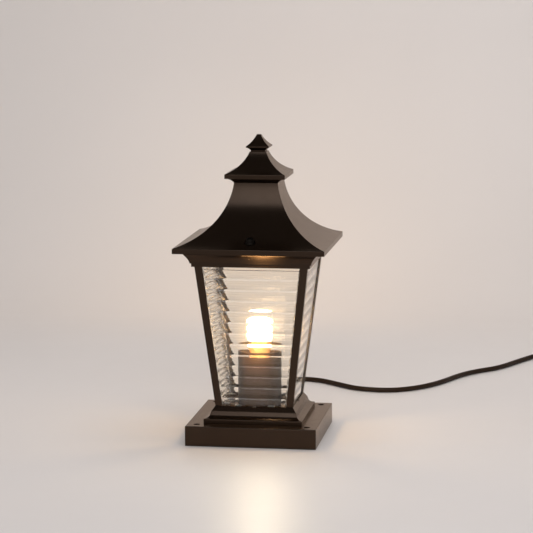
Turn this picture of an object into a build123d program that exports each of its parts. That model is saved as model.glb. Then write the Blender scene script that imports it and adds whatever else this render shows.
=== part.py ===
from build123d import *
import math
import os

# Square gate pillar light with a three-tier roof and four fluted panes.
# Millimetres, +Z up, front towards -Y, origin at the middle of the base's underside.

# Base flange
base_width = 175.0
base_height = 26.5
base_wall = 4.0
base_top = 5.0
base_edge_radius = 1.2
mount_hole_inset = 14.0
mount_hole_diameter = 6.5
mount_sink_diameter = 9.0
wire_hole_diameter = 22.0

# Plinth
plinth_step_height = 6.1
plinth_cove_height = 3.9
plinth_cove_reach = 7.4
plinth_cove_sweep = 1.0
plinth_ring_height = 5.0
plinth_ring_slant = 1.6
plinth_ring_margin = 5.5
plinth_edge_round = 1.0
plinth_wall = 5.0
plinth_web = 4.0
plinth_block_width = 11.0
plinth_screw_spacing = 50.0

# Lantern body: its sides lean outwards from foot to head
body_foot_width = 103.0
body_head_width = 150.3
rail_height = 6.5
rail_depth = 14.0
opening_height = 190.8
post_foot_width = 9.2
post_head_width = 10.4
post_lip = 1.2
weep_notch_width = 5.0
weep_notch_height = 1.8

# Glass panes, smooth outside, with hollow flutes across the inside
glass_thickness = 4.0
glass_rebate = 2.5
glass_gap = 0.3
pane_spacing = 0.7
flute_count = 13
flute_pitch = 14.9
flute_head_margin = 1.4
flute_depth = 1.2
flute_land = 0.6
glass_border = 6.3

# Glass clips, two to a pane
clip_offset = 22.0
clip_width = 8.0
clip_thickness = 1.0
clip_height = 3.5

# Cornice
cornice_step_margin = 3.6
cornice_step_height = 4.7
cornice_ledge = 2.1
cornice_bead_height = 2.0
cornice_cove_height = 10.0
cornice_cove_reach = 6.7
cornice_cove_sweep = 0.6
cornice_fascia_height = 1.0
cornice_wall = 3.0
cornice_flange = 21.2
vent_gap = 1.8
vent_pad_length = 16.0
vent_pad_inset = 3.4

# Main roof
eave_overhang = 12.65
eave_height = 7.1
eave_round = 1.0
eave_wall = 5.0
roof_rise = 79.6
roof_sweep = 16.2
roof_neck_width = 58.6
roof_wall = 4.0

# Upper roof
upper_cove_height = 6.0
upper_cove_sweep = 1.6
upper_overhang = 11.05
upper_eave_height = 6.2
upper_rise = 27.4
upper_sweep = 4.1
upper_neck_width = 22.2
upper_pocket_width = 40.0
upper_pocket_height = 15.0

# Finial
finial_neck_width = 19.4
finial_neck_height = 1.6
finial_flare_height = 4.1
finial_flare_sweep = 0.7
finial_overhang = 5.8
finial_eave_height = 2.1
finial_edge = 0.5
finial_rise = 14.7
finial_sweep = 1.25
finial_tip_width = 5.4

# Tie rod through the roof tiers
rod_diameter = 6.0
rod_grip = 10.0
rod_tail = 9.0
nut_width = 10.0
nut_height = 5.0
washer_diameter = 18.0
washer_thickness = 1.5

# Thumb screws that hold the roof down
thumb_inset = 6.4
thumb_shank_diameter = 5.0
thumb_thread_depth = 6.0
thumb_seat_drop = 2.0
thumb_flange_diameter = 12.5
thumb_flange_height = 2.0
thumb_grip_diameter = 10.5
thumb_grip_height = 4.0
thumb_dome_height = 3.2
thumb_knurl_count = 16
thumb_knurl_diameter = 1.2
thumb_seat_margin = 1.0
thumb_boss_wall = 2.0

# Lamp sleeve, holder and socket
sleeve_diameter = 58.5
sleeve_wall = 2.0
sleeve_floor = 2.0
sleeve_height = 71.5
holder_height = 47.5
holder_floor = 14.0
holder_wall = 4.0
holder_foot_height = 8.0
holder_foot_margin = 2.0
holder_screw_spacing = 30.0
shell_thickness = 0.6
shell_lift = 2.5
shell_drop = 1.0
contact_diameter = 8.0
contact_height = 6.5

# Pear-shaped screw bulb
cap_diameter = 26.0
cap_length = 28.7
cap_collar_height = 5.0
thread_depth = 0.9
thread_count = 6
tip_height = 2.5
tip_diameter = 9.0
tip_root_diameter = 18.0
bulb_neck_diameter = 24.8
bulb_globe_diameter = 35.0
bulb_length = 68.5
bulb_wall = 0.9

# Fasteners
screw_diameter = 4.0
screw_head_diameter = 7.0
screw_head_height = 2.6
screw_length = 12.0
small_screw_diameter = 2.5
small_screw_head_diameter = 4.4
small_screw_head_height = 1.6
small_screw_length = 3.6
slot_width = 0.9
slot_depth = 1.0

# Wiring inside the base
terminal_pitch = 10.0
terminal_ways = 3
terminal_depth = 18.0
terminal_height = 14.0
terminal_setback = 36.0
terminal_screw_spacing = 10.0
terminal_screw_diameter = 3.2
terminal_screw_height = 4.0
terminal_well_depth = 5.5
core_diameter = 2.0
core_length = 11.0
lead_diameter = 2.4
lead_spacing = 12.0
lead_bend_radius = 5.0
earth_x = -32.0
earth_y = 10.0
earth_washer_diameter = 9.0
earth_washer_thickness = 1.2

# Cable gland with its tapered boot
gland_shank_diameter = 10.0
gland_flange_diameter = 14.0
gland_flange_thickness = 3.0
gland_nut_thickness = 4.0
boot_length = 23.5
boot_root_diameter = 12.0
boot_tip_diameter = 9.2
boot_groove_count = 4
boot_groove_width = 1.6
boot_groove_depth = 1.0

# Supply cord, its coil and its plug
cord_diameter = 7.0
cord_rest = 3.6
cord_bend_share = 0.45
coil_x = 411.0
coil_y = 618.0
coil_outer_diameter = 91.0
coil_inner_diameter = 63.0
coil_height = 14.5
tie_thickness = 1.0
tie_width = 8.0
tie_angle = -60.0
plug_x = 449.5
plug_y = 538.0
plug_axis_height = 18.6
plug_boot_length = 22.0
plug_boot_tip_diameter = 9.0
plug_boot_root_diameter = 15.0
plug_body_diameter = 36.0
plug_body_length = 30.0
plug_shoulder_length = 10.0
plug_flat_depth = 3.0
pin_spacing = 19.0
pin_diameter = 4.8
pin_length = 19.0

# Fits and clearances
fit_gap = 0.05
turn_gap = 0.3
hole_clearance = 0.4
cut_margin = 1.0

# Heights of the stacked pieces
base_cavity_height = base_height - base_top
plinth_top = base_height + plinth_step_height + plinth_cove_height + plinth_ring_height
plinth_web_bottom = plinth_top - plinth_web
rail_top = plinth_top + rail_height
rail_floor = rail_top - glass_rebate
cornice_bottom = rail_top + opening_height
cornice_bead_bottom = cornice_bottom + cornice_step_height
cornice_cove_bottom = cornice_bead_bottom + cornice_bead_height
cornice_cove_top = cornice_cove_bottom + cornice_cove_height
cornice_top = cornice_cove_top + cornice_fascia_height
eave_bottom = cornice_top + vent_gap
eave_top = eave_bottom + eave_height
roof_top = eave_top + roof_rise
upper_eave_bottom = roof_top + upper_cove_height
upper_eave_top = upper_eave_bottom + upper_eave_height
upper_top = upper_eave_top + upper_rise
finial_flare_bottom = upper_top + finial_neck_height
finial_eave_bottom = finial_flare_bottom + finial_flare_height
finial_eave_top = finial_eave_bottom + finial_eave_height
finial_top = finial_eave_top + finial_rise

# Half-widths and offsets
base_half = base_width / 2
base_cavity_half = base_half - base_wall
mount_offset = base_half - mount_hole_inset
mount_block_width = 2 * (mount_hole_inset - base_wall)
ring_half = body_foot_width / 2 + plinth_ring_margin
ring_foot_half = ring_half + plinth_ring_slant
plinth_half = ring_foot_half + plinth_cove_reach
plinth_cavity_half = ring_half - plinth_wall
plinth_screw_offset = plinth_cavity_half - plinth_block_width / 2
rail_inner_half = body_foot_width / 2 - rail_depth
frame_screw_offset = body_foot_width / 2 - rail_depth / 2
lean = (body_head_width - body_foot_width) / 2 / (cornice_bottom - plinth_top)
pane_inset = post_lip + glass_gap
post_core = pane_inset + glass_thickness + pane_spacing
pane_edge_inset = post_core + glass_gap
cornice_step_half = body_head_width / 2 + cornice_step_margin
cornice_bead_half = cornice_step_half + cornice_ledge
cornice_half = cornice_bead_half + cornice_cove_reach
cornice_inner_half = cornice_half - cornice_flange
roof_half = cornice_half + eave_overhang
roof_neck_half = roof_neck_width / 2
vent_pad_offset = cornice_half - vent_pad_inset - vent_pad_length / 2
thumb_offset = cornice_half - thumb_inset
upper_half = roof_neck_half + upper_overhang
finial_half = finial_neck_width / 2 + finial_overhang
holder_bottom = plinth_top + sleeve_floor
holder_bore_floor = holder_bottom + holder_floor
holder_top = holder_bottom + holder_height
shell_inner_radius = cap_diameter / 2 + turn_gap
shell_outer_radius = shell_inner_radius + shell_thickness
holder_bore_radius = shell_outer_radius + fit_gap
holder_radius = holder_bore_radius + holder_wall
tip_bottom = holder_bore_floor + contact_height + turn_gap
cap_bottom = tip_bottom + tip_height
cap_top = cap_bottom + cap_length
gland_z = base_cavity_height / 2
boot_end = base_half + gland_flange_thickness + boot_length
terminal_z = base_cavity_height - terminal_height / 2
terminal_back = terminal_setback + terminal_depth / 2
terminal_front = terminal_setback - terminal_depth / 2

STAND = (Align.CENTER, Align.CENTER, Align.MIN)
HANG = (Align.CENTER, Align.CENTER, Align.MAX)


def body_half(z):
    """Half-width of the leaning lantern body at height z."""
    return body_foot_width / 2 + (z - plinth_top) * lean


def corners(offset):
    """The four corner places at one offset from the axis."""
    return [(x, y) for x in (-offset, offset) for y in (-offset, offset)]


def side_turns():
    """Rotations that carry a front piece to the front, right, back and left sides."""
    return [Rot(0, 0, angle) for angle in (0, 90, 180, 270)]


def outline_edges(outline):
    """Edges through (half-width, height) points; a third value sweeps that edge into an arc."""
    edges = Curve()
    for start, end in zip(outline, outline[1:]):
        if len(end) == 3:
            edges += SagittaArc(start[:2], end[:2], end[2])
        else:
            edges += Line(start[:2], end)
    return edges


def square_tier(outline):
    """Solid of square plan whose front and side views share one outline, given as its right half."""
    right_side = outline_edges(outline)
    profile = Plane.XZ * make_face(right_side + mirror(right_side, about=Plane.YZ))
    reach = max(point[0] for point in outline) + cut_margin
    slab = extrude(profile, amount=reach, both=True)
    return slab & slab.rotate(Axis.Z, 90)


def body_prism(inset, bottom, top):
    """Square frustum parallel to the leaning sides, set in from them."""
    foot = body_half(bottom) - inset
    head = body_half(top) - inset
    return square_tier([(0, bottom), (foot, bottom), (head, top), (0, top)])


def turned(outline):
    """Solid of revolution about Z from a closed outline of (radius, height) points."""
    closed = outline + [outline[0][:2]]
    return revolve(Plane.XZ * make_face(outline_edges(closed)), axis=Axis.Z)


def post_block(width, bottom, top):
    """Square block standing on a height."""
    return Pos(0, 0, bottom) * Box(width, width, top - bottom, align=STAND)


def post_cylinder(diameter, bottom, top):
    """Upright cylinder between two heights."""
    return Pos(0, 0, bottom) * Cylinder(diameter / 2, top - bottom, align=STAND)


def tube(points, diameter, radii):
    """Round bar along straight runs joined by tangent arcs."""
    path = FilletPolyline(*points, radius=radii) if radii else Line(*points)
    return sweep(Plane(origin=path @ 0, z_dir=path % 0) * Circle(diameter / 2), path=path)


def slotted_screw(shank, length, head, head_height):
    """Slotted screw pointing up, with the underside of its head at z = 0."""
    screw = Cylinder(shank / 2, length, align=STAND) + Cylinder(head / 2, head_height, align=HANG)
    return screw - Pos(0, 0, -head_height) * Box(head, slot_width, 2 * slot_depth)


def base_screw():
    """The common machine screw."""
    return slotted_screw(screw_diameter, screw_length, screw_head_diameter, screw_head_height)


def small_screw():
    """The small machine screw."""
    return slotted_screw(
        small_screw_diameter, small_screw_length, small_screw_head_diameter, small_screw_head_height
    )


def plinth_screw_places():
    """Where the screws from the base come up into the plinth."""
    half_spacing = plinth_screw_spacing / 2
    sides = (-plinth_screw_offset, plinth_screw_offset)
    return [(x, y) for x in sides for y in (-half_spacing, half_spacing)]


def holder_screw_places():
    """Where the screws through the plinth's web hold the lamp holder."""
    return [(-holder_screw_spacing / 2, 0), (holder_screw_spacing / 2, 0)]


# Base flange: hollow casting, open underneath
def base_flange():
    block = post_block(base_width, 0, base_height)
    upper_edges = block.faces().sort_by(Axis.Z)[-1].edges()
    flange = fillet(block.edges().filter_by(Axis.Z) + upper_edges, base_edge_radius)
    flange -= post_block(2 * base_cavity_half, 0, base_cavity_height)
    for x, y in corners(mount_offset):
        flange += Pos(x, y, 0) * post_block(mount_block_width, 0, base_cavity_height)
    for x, y in corners(mount_offset):
        flange -= Pos(x, y, 0) * post_cylinder(mount_hole_diameter, 0, base_height)
        sink_depth = (mount_sink_diameter - mount_hole_diameter) / 2
        flange -= Pos(x, y, base_height) * Cone(
            mount_hole_diameter / 2, mount_sink_diameter / 2, sink_depth, align=HANG
        )
    flange -= post_cylinder(wire_hole_diameter, base_cavity_height, base_height)
    for x, y in plinth_screw_places():
        hole = screw_diameter + 2 * hole_clearance
        flange -= Pos(x, y, 0) * post_cylinder(hole, base_cavity_height, base_height)
    tapped = small_screw_diameter + 2 * fit_gap
    for x, y in ((earth_x, earth_y), (terminal_pitch / 2, terminal_setback)):
        flange -= Pos(x, y, 0) * post_cylinder(
            tapped, base_cavity_height, base_cavity_height + small_screw_length
        )
    gland_hole = Cylinder(gland_shank_diameter / 2 + fit_gap, base_wall + 2 * cut_margin)
    flange -= Pos(0, base_half - base_wall / 2, gland_z) * Rot(90, 0, 0) * gland_hole
    return flange


# Plinth: step, cove and slanting ring, hollow below its web
def plinth():
    cove_bottom = base_height + plinth_step_height
    cove_top = cove_bottom + plinth_cove_height
    round_sag = plinth_edge_round * (1 - math.sqrt(0.5))
    body = square_tier([
        (0, base_height),
        (plinth_half, base_height),
        (plinth_half, cove_bottom - plinth_edge_round),
        (plinth_half - plinth_edge_round, cove_bottom, -round_sag),
        (ring_foot_half, cove_top, plinth_cove_sweep),
        (ring_half, plinth_top),
        (0, plinth_top),
    ])
    body -= post_block(2 * plinth_cavity_half, base_height, plinth_web_bottom)
    for x, y in plinth_screw_places():
        body += Pos(x, y, 0) * post_block(plinth_block_width, base_height, plinth_web_bottom)
    for x, y in plinth_screw_places():
        depth = base_cavity_height + screw_length + fit_gap
        body -= Pos(x, y, 0) * post_cylinder(screw_diameter + 2 * fit_gap, base_height, depth)
    body -= post_cylinder(wire_hole_diameter, plinth_web_bottom, plinth_top)
    for turn in side_turns():
        body -= turn * Pos(0, -frame_screw_offset, 0) * post_cylinder(
            screw_diameter + 2 * hole_clearance, plinth_web_bottom, plinth_top
        )
    for x, y in holder_screw_places():
        body -= Pos(x, y, 0) * post_cylinder(
            screw_diameter + 2 * hole_clearance, plinth_web_bottom, plinth_top
        )
    return body


def plinth_screws():
    return Part() + [Pos(x, y, base_cavity_height) * base_screw() for x, y in plinth_screw_places()]


def frame_screws():
    screw = slotted_screw(
        screw_diameter, plinth_web + rail_height / 2, screw_head_diameter, screw_head_height
    )
    return Part() + [turn * Pos(0, -frame_screw_offset, plinth_web_bottom) * screw for turn in side_turns()]


# Lower frame: bevelled rail with a lip in front of the panes and a weep notch on each side
def lower_frame():
    rail = square_tier([
        (0, plinth_top),
        (ring_half, plinth_top),
        (body_half(rail_top), rail_top),
        (0, rail_top),
    ])
    rail -= body_prism(post_lip, rail_floor, rail_top + cut_margin)
    rail -= post_block(2 * rail_inner_half, plinth_top, rail_top)
    for turn in side_turns():
        notch = Box(weep_notch_width, rail_depth, 2 * weep_notch_height)
        rail -= turn * Pos(0, -body_half(rail_top), rail_top) * notch
        rail -= turn * Pos(0, -frame_screw_offset, 0) * post_cylinder(
            screw_diameter + 2 * fit_gap, plinth_top, plinth_top + rail_height / 2 + fit_gap
        )
        for x, y in clip_screw_places():
            rail -= turn * Pos(x, y, 0) * post_cylinder(
                small_screw_diameter + 2 * fit_gap, clip_screw_bottom(), rail_floor
            )
    return rail


# Corner posts: lips in front of two panes, and a core between the panes' edges
def corner_post():
    sections = []
    for height, width in ((rail_top, post_foot_width), (cornice_bottom, post_head_width)):
        half = body_half(height)
        steps = [
            (0, 0), (0, width), (-post_lip, width), (-post_lip, post_core),
            (-post_core, post_core), (-post_core, post_lip), (-width, post_lip), (-width, 0),
        ]
        outline = Polyline([(half + dx, dy - half) for dx, dy in steps], close=True)
        sections.append(Pos(0, 0, height) * make_face(outline))
    return loft(sections, ruled=True)


# Cornice: stepped and coved ring over the panes, with pads that carry the roof
def cornice():
    ring = square_tier([
        (0, cornice_bottom),
        (cornice_step_half, cornice_bottom),
        (cornice_step_half, cornice_bead_bottom),
        (cornice_bead_half, cornice_bead_bottom),
        (cornice_bead_half, cornice_cove_bottom),
        (cornice_half, cornice_cove_top, cornice_cove_sweep),
        (cornice_half, cornice_top),
        (0, cornice_top),
    ])
    rebate_half = body_half(cornice_bottom + glass_rebate) - post_lip
    pocket_half = cornice_step_half - cornice_wall
    flange_bottom = cornice_bottom + glass_rebate
    ring -= post_block(2 * rebate_half, cornice_bottom, flange_bottom)
    ring -= post_block(2 * cornice_inner_half, cornice_bottom, cornice_top)
    ring -= post_block(2 * pocket_half, flange_bottom + cornice_wall, cornice_top - thumb_thread_depth)
    for x, y in corners(vent_pad_offset):
        ring += Pos(x, y, 0) * post_block(vent_pad_length, cornice_top, eave_bottom)
    for side in (-thumb_offset, thumb_offset):
        ring -= Pos(0, side, 0) * post_cylinder(
            thumb_shank_diameter + 2 * fit_gap, cornice_top - thumb_thread_depth - fit_gap, cornice_top
        )
    return ring


# Fluted pane, made on the front side
def glass_pane():
    foot_z = rail_floor + glass_gap
    tilt = math.atan(lean)
    head_z = cornice_bottom + glass_rebate - glass_gap - glass_thickness * math.sin(tilt)
    outer_face = Plane(
        origin=(0, pane_inset - body_half(foot_z), foot_z),
        x_dir=(1, 0, 0),
        z_dir=(0, -math.cos(tilt), -math.sin(tilt)),
    )
    slant = 1 / math.cos(tilt)
    foot_half = body_half(foot_z) - pane_edge_inset
    head_half = body_half(head_z) - pane_edge_inset
    head = (head_z - foot_z) * slant
    pane = Polyline((-foot_half, 0), (foot_half, 0), (head_half, head), (-head_half, head), close=True)
    flute_head = (cornice_bottom - flute_head_margin - foot_z) * slant
    pitch = flute_pitch * slant
    half_chord = (pitch - flute_land) / 2
    flute_radius = (half_chord ** 2 + flute_depth ** 2) / (2 * flute_depth)
    axis_depth = glass_thickness + flute_radius - flute_depth
    flute = Rot(0, 90, 0) * Cylinder(flute_radius, 2 * head_half)
    flutes = [Pos(0, flute_head - (i + 0.5) * pitch, -axis_depth) * flute for i in range(flute_count)]
    field_head = head - glass_border
    field_foot_half = foot_half - glass_border
    field_head_half = foot_half + (head_half - foot_half) * field_head / head - glass_border
    field = Polyline(
        (-field_foot_half, 0),
        (field_foot_half, 0),
        (field_head_half, field_head),
        (-field_head_half, field_head),
        close=True,
    )
    field_block = extrude(make_face(field), amount=-2 * glass_thickness)
    grooves = (Part() + flutes) & field_block
    return outer_face * (extrude(make_face(pane), amount=-glass_thickness) - grooves)


# Glass clips: bent tabs behind the foot of each pane
def clip_inset():
    """Depth behind the lantern's foot of the clip's upright, clear of the pane."""
    return pane_inset + (glass_thickness + glass_gap) / math.cos(math.atan(lean))


def clip_back():
    """Distance from the axis to the inner edge of a clip."""
    return rail_inner_half + glass_gap


def clip_front():
    """Distance from the axis to the upright's outer face."""
    return body_half(rail_floor) - clip_inset()


def clip_screw_places():
    """Where the screws of the front pane's clips go into the lower frame."""
    y = -(clip_back() + clip_front() - clip_thickness) / 2
    return [(-clip_offset, y), (clip_offset, y)]


def clip_screw_bottom():
    return rail_floor + clip_thickness - small_screw_length - fit_gap


def glass_clip(x, y):
    foot_length = clip_front() - clip_back()
    foot = Pos(x, -clip_back(), rail_floor) * Box(
        clip_width, foot_length, clip_thickness, align=(Align.CENTER, Align.MAX, Align.MIN)
    )
    upright = Pos(x, -clip_front(), rail_floor) * Box(
        clip_width, clip_thickness, clip_height, align=(Align.CENTER, Align.MIN, Align.MIN)
    )
    hole = Pos(x, y, 0) * post_cylinder(
        small_screw_diameter + 2 * fit_gap, rail_floor, rail_floor + clip_thickness
    )
    return foot + upright - hole


def glass_clips():
    clips = [glass_clip(x, y) for x, y in clip_screw_places()]
    return Part() + [turn * clip for turn in side_turns() for clip in clips]


def glass_clip_screws():
    screw = Pos(0, 0, rail_floor + clip_thickness) * Rot(180, 0, 0) * small_screw()
    screws = [Pos(x, y, 0) * screw for x, y in clip_screw_places()]
    return Part() + [turn * fixed for turn in side_turns() for fixed in screws]


# Main roof: hollow swept shell whose corner bosses sit on the cornice's pads
def roof_sweep_circle():
    """Centre and radius of the roof's swept outline."""
    start = Vector(roof_half - eave_round, eave_top)
    end = Vector(roof_neck_half, roof_top)
    chord = end - start
    radius = chord.length ** 2 / (8 * roof_sweep) + roof_sweep / 2
    inward = chord.normalized().rotate(Axis.Z, 90)
    centre = (start + end) / 2 - inward * (radius - roof_sweep)
    return centre, radius


def roof_surface_height(half):
    """Height of the roof's outer surface at a distance from the axis."""
    centre, radius = roof_sweep_circle()
    return centre.Y - math.sqrt(radius ** 2 - (half - centre.X) ** 2)


def thumb_seat_height():
    return roof_surface_height(thumb_offset) - thumb_seat_drop


def roof_outer():
    round_sag = eave_round * (1 - math.sqrt(0.5))
    return square_tier([
        (0, eave_bottom),
        (roof_half, eave_bottom),
        (roof_half, eave_top - eave_round),
        (roof_half - eave_round, eave_top, -round_sag),
        (roof_neck_half, roof_top, roof_sweep),
        (0, roof_top),
    ])


def roof_cavity():
    centre, radius = roof_sweep_circle()
    inner_radius = radius + roof_wall
    ceiling = roof_top - roof_wall
    skirt_half = roof_half - eave_wall
    skirt_top = centre.Y - math.sqrt(inner_radius ** 2 - (skirt_half - centre.X) ** 2)
    neck_half = centre.X - math.sqrt(inner_radius ** 2 - (ceiling - centre.Y) ** 2)
    half_chord = math.hypot(skirt_half - neck_half, ceiling - skirt_top) / 2
    inner_sag = inner_radius - math.sqrt(inner_radius ** 2 - half_chord ** 2)
    return square_tier([
        (0, eave_bottom),
        (skirt_half, eave_bottom),
        (skirt_half, skirt_top),
        (neck_half, ceiling, inner_sag),
        (0, ceiling),
    ])


def roof():
    outer = roof_outer()
    shell = outer - roof_cavity()
    for x, y in corners(vent_pad_offset):
        shell += outer & Pos(x, y, 0) * post_block(vent_pad_length, eave_bottom, roof_top)
    seat_height = thumb_seat_height()
    seat_diameter = thumb_flange_diameter + 2 * thumb_seat_margin
    boss_diameter = seat_diameter + 2 * thumb_boss_wall
    for side in (-thumb_offset, thumb_offset):
        shell += outer & Pos(0, side, 0) * post_cylinder(boss_diameter, eave_bottom, roof_top)
        shell -= Pos(0, side, 0) * post_cylinder(seat_diameter, seat_height, roof_top)
        shell -= Pos(0, side, 0) * post_cylinder(
            thumb_shank_diameter + 2 * hole_clearance, eave_bottom, seat_height
        )
    return shell - post_cylinder(rod_diameter + 2 * hole_clearance, eave_bottom, roof_top)


# Thumb screw: knurled domed head on a plain shank
def thumb_screw(side):
    flange_bottom = thumb_seat_height() + turn_gap
    grip_bottom = flange_bottom + thumb_flange_height
    dome_bottom = grip_bottom + thumb_grip_height
    grip_radius = thumb_grip_diameter / 2
    dome_radius = (grip_radius ** 2 + thumb_dome_height ** 2) / (2 * thumb_dome_height)
    half_chord = math.hypot(grip_radius, thumb_dome_height) / 2
    dome_sag = dome_radius - math.sqrt(dome_radius ** 2 - half_chord ** 2)
    shank_bottom = cornice_top - thumb_thread_depth + turn_gap
    screw = turned([
        (0, shank_bottom),
        (thumb_shank_diameter / 2, shank_bottom),
        (thumb_shank_diameter / 2, flange_bottom),
        (thumb_flange_diameter / 2, flange_bottom),
        (thumb_flange_diameter / 2, grip_bottom),
        (grip_radius, grip_bottom),
        (grip_radius, dome_bottom),
        (0, dome_bottom + thumb_dome_height, -dome_sag),
    ])
    groove = Pos(grip_radius, 0, 0) * post_cylinder(thumb_knurl_diameter, grip_bottom, dome_bottom)
    knurls = [Rot(0, 0, 360 * i / thumb_knurl_count) * groove for i in range(thumb_knurl_count)]
    return Pos(0, side, 0) * (screw - knurls)


# Upper roof: second tier, hollowed round the tie rod
def upper_roof():
    round_sag = eave_round * (1 - math.sqrt(0.5))
    tier = square_tier([
        (0, roof_top),
        (roof_neck_half, roof_top),
        (upper_half, upper_eave_bottom, upper_cove_sweep),
        (upper_half, upper_eave_top - eave_round),
        (upper_half - eave_round, upper_eave_top, -round_sag),
        (upper_neck_width / 2, upper_top, upper_sweep),
        (0, upper_top),
    ])
    tier -= post_block(upper_pocket_width, roof_top, roof_top + upper_pocket_height)
    return tier - post_cylinder(rod_diameter + 2 * hole_clearance, roof_top, upper_top)


# Finial: small third tier, screwed on the tie rod
def finial():
    tier = square_tier([
        (0, upper_top),
        (finial_neck_width / 2, upper_top),
        (finial_neck_width / 2, finial_flare_bottom),
        (finial_half, finial_eave_bottom, finial_flare_sweep),
        (finial_half, finial_eave_top - finial_edge),
        (finial_half - finial_edge, finial_eave_top),
        (finial_tip_width / 2, finial_top, finial_sweep),
        (0, finial_top),
    ])
    return tier - post_cylinder(rod_diameter + 2 * fit_gap, upper_top, upper_top + rod_grip + fit_gap)


def roof_washer():
    top = roof_top - roof_wall
    disc = post_cylinder(washer_diameter, top - washer_thickness, top)
    return disc - post_cylinder(rod_diameter + 2 * hole_clearance, top - washer_thickness, top)


def roof_nut():
    top = roof_top - roof_wall - washer_thickness
    hexagon = RegularPolygon(nut_width / 2, 6, major_radius=False)
    nut = Pos(0, 0, top - nut_height) * extrude(hexagon, amount=nut_height)
    return nut - post_cylinder(rod_diameter + 2 * fit_gap, top - nut_height, top)


def roof_tie_rod():
    return post_cylinder(rod_diameter, roof_top - roof_wall - rod_tail, upper_top + rod_grip)


# Lamp sleeve: open cup round the lamp holder
def lamp_sleeve():
    top = plinth_top + sleeve_height
    cup = post_cylinder(sleeve_diameter, plinth_top, top)
    cup -= post_cylinder(sleeve_diameter - 2 * sleeve_wall, holder_bottom, top)
    cup -= post_cylinder(wire_hole_diameter, plinth_top, holder_bottom)
    for x, y in holder_screw_places():
        hole = screw_diameter + 2 * hole_clearance
        cup -= Pos(x, y, 0) * post_cylinder(hole, plinth_top, holder_bottom)
    return cup


# Lamp holder: turned insulator with a screw foot
def lamp_holder():
    foot_radius = holder_radius + holder_foot_margin
    foot_top = holder_bottom + holder_foot_height
    body = turned([
        (0, holder_bottom),
        (foot_radius, holder_bottom),
        (foot_radius, foot_top),
        (holder_radius, foot_top),
        (holder_radius, holder_top),
        (holder_bore_radius, holder_top),
        (holder_bore_radius, holder_bore_floor),
        (0, holder_bore_floor),
    ])
    tapped = screw_diameter + 2 * fit_gap
    tapped_top = plinth_web_bottom + screw_length + fit_gap
    for x, y in holder_screw_places():
        body -= Pos(x, y, 0) * post_cylinder(tapped, holder_bottom, tapped_top)
    return body


def holder_screws():
    return Part() + [Pos(x, y, plinth_web_bottom) * base_screw() for x, y in holder_screw_places()]


def socket_shell():
    bottom = holder_bore_floor + shell_lift
    top = holder_top - shell_drop
    return post_cylinder(2 * shell_outer_radius, bottom, top) - post_cylinder(
        2 * shell_inner_radius, bottom, top
    )


def socket_contact():
    return post_cylinder(contact_diameter, holder_bore_floor, holder_bore_floor + contact_height)


# Bulb: threaded cap, contact tip and hollow pear-shaped glass
def bulb_cap():
    crest = cap_diameter / 2
    root = crest - thread_depth
    thread_height = cap_length - cap_collar_height
    pitch = thread_height / thread_count
    outline = [(0, cap_bottom), (root, cap_bottom)]
    for i in range(thread_count):
        outline.append((crest, cap_bottom + (i + 0.5) * pitch))
        outline.append((root, cap_bottom + (i + 1) * pitch))
    outline.append((root, cap_top))
    outline.append((0, cap_top))
    return turned(outline)


def bulb_contact():
    return turned([
        (0, tip_bottom),
        (tip_diameter / 2, tip_bottom),
        (tip_root_diameter / 2, cap_bottom),
        (0, cap_bottom),
    ])


def pear(inset):
    """Pear shape: a cone from the neck that runs tangent into the globe."""
    neck_radius = bulb_neck_diameter / 2 - inset
    globe_radius = bulb_globe_diameter / 2 - inset
    centre_z = cap_top + bulb_length - bulb_globe_diameter / 2
    distance = math.hypot(neck_radius, centre_z - cap_top)
    slope = math.atan2(centre_z - cap_top, -neck_radius) - math.asin(globe_radius / distance)
    reach = math.sqrt(distance ** 2 - globe_radius ** 2)
    touch = (neck_radius + reach * math.cos(slope), cap_top + reach * math.sin(slope))
    top = (0, centre_z + globe_radius)
    half_chord = math.hypot(touch[0], top[1] - touch[1]) / 2
    sag = globe_radius - math.sqrt(globe_radius ** 2 - half_chord ** 2)
    return turned([(0, cap_top), (neck_radius, cap_top), touch, top + (-sag,)])


def bulb_glass():
    return pear(0) - pear(bulb_wall)


# Wiring inside the base
def way_places():
    """Sideways place of each terminal way."""
    middle = (terminal_ways - 1) / 2
    return [(i - middle) * terminal_pitch for i in range(terminal_ways)]


def terminal_screw_places():
    half_spacing = terminal_screw_spacing / 2
    return [(x, terminal_setback + dy) for x in way_places() for dy in (-half_spacing, half_spacing)]


def terminal_block():
    bottom = base_cavity_height - terminal_height
    block = Pos(0, terminal_setback, bottom) * Box(
        terminal_ways * terminal_pitch, terminal_depth, terminal_height, align=STAND
    )
    for x, y in terminal_screw_places():
        well = terminal_screw_diameter + 2 * fit_gap
        block -= Pos(x, y, 0) * post_cylinder(well, bottom, bottom + terminal_well_depth)
    fixing_hole = small_screw_diameter + 2 * hole_clearance
    return block - Pos(terminal_pitch / 2, terminal_setback, 0) * post_cylinder(
        fixing_hole, bottom, base_cavity_height
    )


def terminal_screws():
    bottom = base_cavity_height - terminal_height + terminal_well_depth - terminal_screw_height
    screw = post_cylinder(terminal_screw_diameter, bottom, bottom + terminal_screw_height)
    screw -= Pos(0, 0, bottom) * Box(terminal_screw_diameter, slot_width, 2 * slot_depth)
    return Part() + [Pos(x, y, 0) * screw for x, y in terminal_screw_places()]


def terminal_fixing_screw():
    screw = slotted_screw(
        small_screw_diameter,
        terminal_height + small_screw_length - fit_gap,
        small_screw_head_diameter,
        small_screw_head_height,
    )
    return Pos(terminal_pitch / 2, terminal_setback, base_cavity_height - terminal_height) * screw


def earth_screw():
    screw = slotted_screw(
        small_screw_diameter,
        earth_washer_thickness + small_screw_length - fit_gap,
        small_screw_head_diameter,
        small_screw_head_height,
    )
    return Pos(earth_x, earth_y, base_cavity_height - earth_washer_thickness) * screw


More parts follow.
